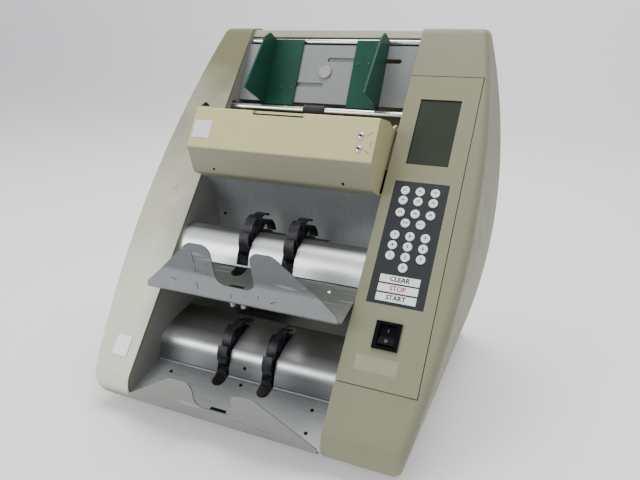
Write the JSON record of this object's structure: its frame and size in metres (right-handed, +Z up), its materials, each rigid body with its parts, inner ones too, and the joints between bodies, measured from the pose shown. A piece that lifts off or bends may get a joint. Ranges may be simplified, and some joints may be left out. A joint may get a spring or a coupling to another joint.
{
  "type": "banknote counting machine",
  "caption": "Desktop banknote counting machine with a sloped front, note hopper, hinged hood, stacking pockets with vaned wheels, and a side console.",
  "frame": {"origin": "middle of the footprint, on the table", "axes": "+X to the right seen from the front, +Y to the back, +Z up"},
  "size_m": [0.352, 0.3048, 0.3531],
  "materials": {
    "pod_plastic": "fine moulded texture, warm light grey",
    "lid_plastic": "fine moulded texture, warm grey",
    "hood_plastic": "moulded, slightly yellowed",
    "painted_frame": "powder coated steel sheet",
    "drum_steel": "brushed along the width",
    "tray_steel": "worn satin sheet",
    "grey_sheet": "grey coated sheet",
    "plated_rod": "plated rod",
    "green_sheet": "dark green coated sheet",
    "gear_plastic": "moulded gear",
    "roller_rubber": "soft black rubber",
    "wheel_plastic": "moulded vaned wheel",
    "bearing_brass": "sintered bush",
    "motor_can": "motor body",
    "pulley_alloy": "turned pulley",
    "display_window": "dark display window",
    "keypad_film": "dark grey keypad face",
    "key_white": "white moulded keys",
    "switch_black": "black moulded switch",
    "board_laminate": "green laminate"
  },
  "bodies": {
    "machine": {"base_plate": "painted_frame", "left_side_frame": "painted_frame", "right_side_frame": "painted_frame", "left_pod": "pod_plastic", "right_pod": "pod_plastic", "rear_cover": "painted_frame", "rubber_feet": "roller_rubber", "power_inlet": "switch_black", "console_lid": "lid_plastic", "display_window": "display_window", "keypad_plate": "keypad_film", "switch_bezel": "switch_black", "main_board": "board_laminate", "hopper_plate": "grey_sheet", "hopper_rod": "plated_rod", "pocket_back_sheet": "grey_sheet", "upper_drum": "drum_steel", "upper_tray": "tray_steel", "lower_drum": "drum_steel", "lower_tray": "tray_steel", "shaft_bearings": "bearing_brass", "drive_motor": "motor_can", "drive_belt": "roller_rubber"},
    "hood": {"hood": "hood_plastic"},
    "rocker": {"power_rocker": "switch_black"},
    "left_guide": {"left_note_guide": "green_sheet"},
    "right_guide": {"right_note_guide": "green_sheet"},
    "pinion": {"guide_pinion": "gear_plastic"},
    "feed": {"feed_shaft": "plated_rod", "feed_roller": "roller_rubber"},
    "upper_stacker": {"upper_stacker_shaft": "plated_rod", "upper_stacker_wheels": "wheel_plastic", "exit_rollers": "roller_rubber"},
    "lower_stacker": {"lower_stacker_shaft": "plated_rod", "lower_stacker_wheels": "wheel_plastic"},
    "motor_shaft": {"motor_pulley": "pulley_alloy"},
    "function_key_1": {"function_key_1": "key_white"},
    "function_key_2": {"function_key_2": "key_white"},
    "function_key_3": {"function_key_3": "key_white"},
    "function_key_4": {"function_key_4": "key_white"},
    "function_key_5": {"function_key_5": "key_white"},
    "function_key_6": {"function_key_6": "key_white"},
    "function_key_7": {"function_key_7": "key_white"},
    "function_key_8": {"function_key_8": "key_white"},
    "function_key_9": {"function_key_9": "key_white"},
    "function_key_10": {"function_key_10": "key_white"},
    "function_key_11": {"function_key_11": "key_white"},
    "digit_key_7": {"digit_key_7": "key_white"},
    "digit_key_8": {"digit_key_8": "key_white"},
    "digit_key_9": {"digit_key_9": "key_white"},
    "digit_key_4": {"digit_key_4": "key_white"},
    "digit_key_5": {"digit_key_5": "key_white"},
    "digit_key_6": {"digit_key_6": "key_white"},
    "digit_key_1": {"digit_key_1": "key_white"},
    "digit_key_2": {"digit_key_2": "key_white"},
    "digit_key_3": {"digit_key_3": "key_white"},
    "digit_key_0": {"digit_key_0": "key_white"},
    "clear_key": {"clear_key": "key_white"},
    "stop_key": {"stop_key": "key_white"},
    "start_key": {"start_key": "key_white"}
  },
  "joints": [
    {"name": "upper_stacker_spin", "type": "hinge", "parent": "machine", "child": "upper_stacker", "pos_m": [-0.01385, -0.01716, 0.14656], "axis": [1, 0, 0], "continuous": true},
    {"name": "lower_stacker_spin", "type": "hinge", "parent": "machine", "child": "lower_stacker", "pos_m": [-0.01385, -0.06575, 0.0465], "axis": [1, 0, 0], "continuous": true},
    {"name": "feed_spin", "type": "hinge", "parent": "machine", "child": "feed", "pos_m": [-0.01385, 0.07184, 0.27048], "axis": [1, 0, 0], "continuous": true},
    {"name": "motor_spin", "type": "hinge", "parent": "machine", "child": "motor_shaft", "pos_m": [-0.1362, 0.08087, 0.068], "axis": [1, 0, 0], "continuous": true},
    {"name": "hood_hinge", "type": "hinge", "parent": "machine", "child": "hood", "pos_m": [-0.01385, 0.05353, 0.25738], "axis": [-1, 0, 0], "range_deg": [0, 40]},
    {"name": "rocker_tilt", "type": "hinge", "parent": "machine", "child": "rocker", "pos_m": [0.122, -0.08054, 0.10521], "axis": [1, 0, 0], "range_deg": [0, 16]},
    {"name": "right_guide_slide", "type": "slide", "parent": "machine", "child": "right_guide", "axis": [1, 0, 0], "range_m": [-0.022, 0.03]},
    {"name": "left_guide_slide", "type": "slide", "parent": "machine", "child": "left_guide", "axis": [1, 0, 0], "range_m": [-0.03, 0.022]},
    {"name": "pinion_spin", "type": "hinge", "parent": "machine", "child": "pinion", "pos_m": [-0.01385, 0.10006, 0.30799], "axis": [0, -0.8926, 0.4509], "range_deg": [-157.26, 115.59]},
    {"name": "function_key_1_press", "type": "slide", "parent": "machine", "child": "function_key_1", "axis": [0, 0.766, -0.6428], "range_m": [0, 0.0008], "stiffness_N_per_m": 600},
    {"name": "function_key_2_press", "type": "slide", "parent": "machine", "child": "function_key_2", "axis": [0, 0.766, -0.6428], "range_m": [0, 0.0008], "stiffness_N_per_m": 600},
    {"name": "function_key_3_press", "type": "slide", "parent": "machine", "child": "function_key_3", "axis": [0, 0.766, -0.6428], "range_m": [0, 0.0008], "stiffness_N_per_m": 600},
    {"name": "function_key_4_press", "type": "slide", "parent": "machine", "child": "function_key_4", "axis": [0, 0.766, -0.6428], "range_m": [0, 0.0008], "stiffness_N_per_m": 600},
    {"name": "function_key_5_press", "type": "slide", "parent": "machine", "child": "function_key_5", "axis": [0, 0.766, -0.6428], "range_m": [0, 0.0008], "stiffness_N_per_m": 600},
    {"name": "function_key_6_press", "type": "slide", "parent": "machine", "child": "function_key_6", "axis": [0, 0.766, -0.6428], "range_m": [0, 0.0008], "stiffness_N_per_m": 600},
    {"name": "function_key_7_press", "type": "slide", "parent": "machine", "child": "function_key_7", "axis": [0, 0.766, -0.6428], "range_m": [0, 0.0008], "stiffness_N_per_m": 600},
    {"name": "function_key_8_press", "type": "slide", "parent": "machine", "child": "function_key_8", "axis": [0, 0.766, -0.6428], "range_m": [0, 0.0008], "stiffness_N_per_m": 600},
    {"name": "function_key_9_press", "type": "slide", "parent": "machine", "child": "function_key_9", "axis": [0, 0.766, -0.6428], "range_m": [0, 0.0008], "stiffness_N_per_m": 600},
    {"name": "function_key_10_press", "type": "slide", "parent": "machine", "child": "function_key_10", "axis": [0, 0.766, -0.6428], "range_m": [0, 0.0008], "stiffness_N_per_m": 600},
    {"name": "function_key_11_press", "type": "slide", "parent": "machine", "child": "function_key_11", "axis": [0, 0.766, -0.6428], "range_m": [0, 0.0008], "stiffness_N_per_m": 600},
    {"name": "digit_key_7_press", "type": "slide", "parent": "machine", "child": "digit_key_7", "axis": [0, 0.766, -0.6428], "range_m": [0, 0.0008], "stiffness_N_per_m": 600},
    {"name": "digit_key_8_press", "type": "slide", "parent": "machine", "child": "digit_key_8", "axis": [0, 0.766, -0.6428], "range_m": [0, 0.0008], "stiffness_N_per_m": 600},
    {"name": "digit_key_9_press", "type": "slide", "parent": "machine", "child": "digit_key_9", "axis": [0, 0.766, -0.6428], "range_m": [0, 0.0008], "stiffness_N_per_m": 600},
    {"name": "digit_key_4_press", "type": "slide", "parent": "machine", "child": "digit_key_4", "axis": [0, 0.766, -0.6428], "range_m": [0, 0.0008], "stiffness_N_per_m": 600},
    {"name": "digit_key_5_press", "type": "slide", "parent": "machine", "child": "digit_key_5", "axis": [0, 0.766, -0.6428], "range_m": [0, 0.0008], "stiffness_N_per_m": 600},
    {"name": "digit_key_6_press", "type": "slide", "parent": "machine", "child": "digit_key_6", "axis": [0, 0.766, -0.6428], "range_m": [0, 0.0008], "stiffness_N_per_m": 600},
    {"name": "digit_key_1_press", "type": "slide", "parent": "machine", "child": "digit_key_1", "axis": [0, 0.766, -0.6428], "range_m": [0, 0.0008], "stiffness_N_per_m": 600},
    {"name": "digit_key_2_press", "type": "slide", "parent": "machine", "child": "digit_key_2", "axis": [0, 0.766, -0.6428], "range_m": [0, 0.0008], "stiffness_N_per_m": 600},
    {"name": "digit_key_3_press", "type": "slide", "parent": "machine", "child": "digit_key_3", "axis": [0, 0.766, -0.6428], "range_m": [0, 0.0008], "stiffness_N_per_m": 600},
    {"name": "digit_key_0_press", "type": "slide", "parent": "machine", "child": "digit_key_0", "axis": [0, 0.766, -0.6428], "range_m": [0, 0.0008], "stiffness_N_per_m": 600},
    {"name": "clear_key_press", "type": "slide", "parent": "machine", "child": "clear_key", "axis": [0, 0.766, -0.6428], "range_m": [0, 0.0008], "stiffness_N_per_m": 600},
    {"name": "stop_key_press", "type": "slide", "parent": "machine", "child": "stop_key", "axis": [0, 0.766, -0.6428], "range_m": [0, 0.0008], "stiffness_N_per_m": 600},
    {"name": "start_key_press", "type": "slide", "parent": "machine", "child": "start_key", "axis": [0, 0.766, -0.6428], "range_m": [0, 0.0008], "stiffness_N_per_m": 600}
  ],
  "couplings": [
    {"joint": "lower_stacker_spin", "follows": "upper_stacker_spin", "ratio": 1},
    {"joint": "feed_spin", "follows": "upper_stacker_spin", "ratio": 1},
    {"joint": "motor_spin", "follows": "upper_stacker_spin", "ratio": 1},
    {"joint": "left_guide_slide", "follows": "right_guide_slide", "ratio": -1},
    {"joint": "pinion_spin", "follows": "right_guide_slide", "rad_per_m": -90.909}
  ]
}
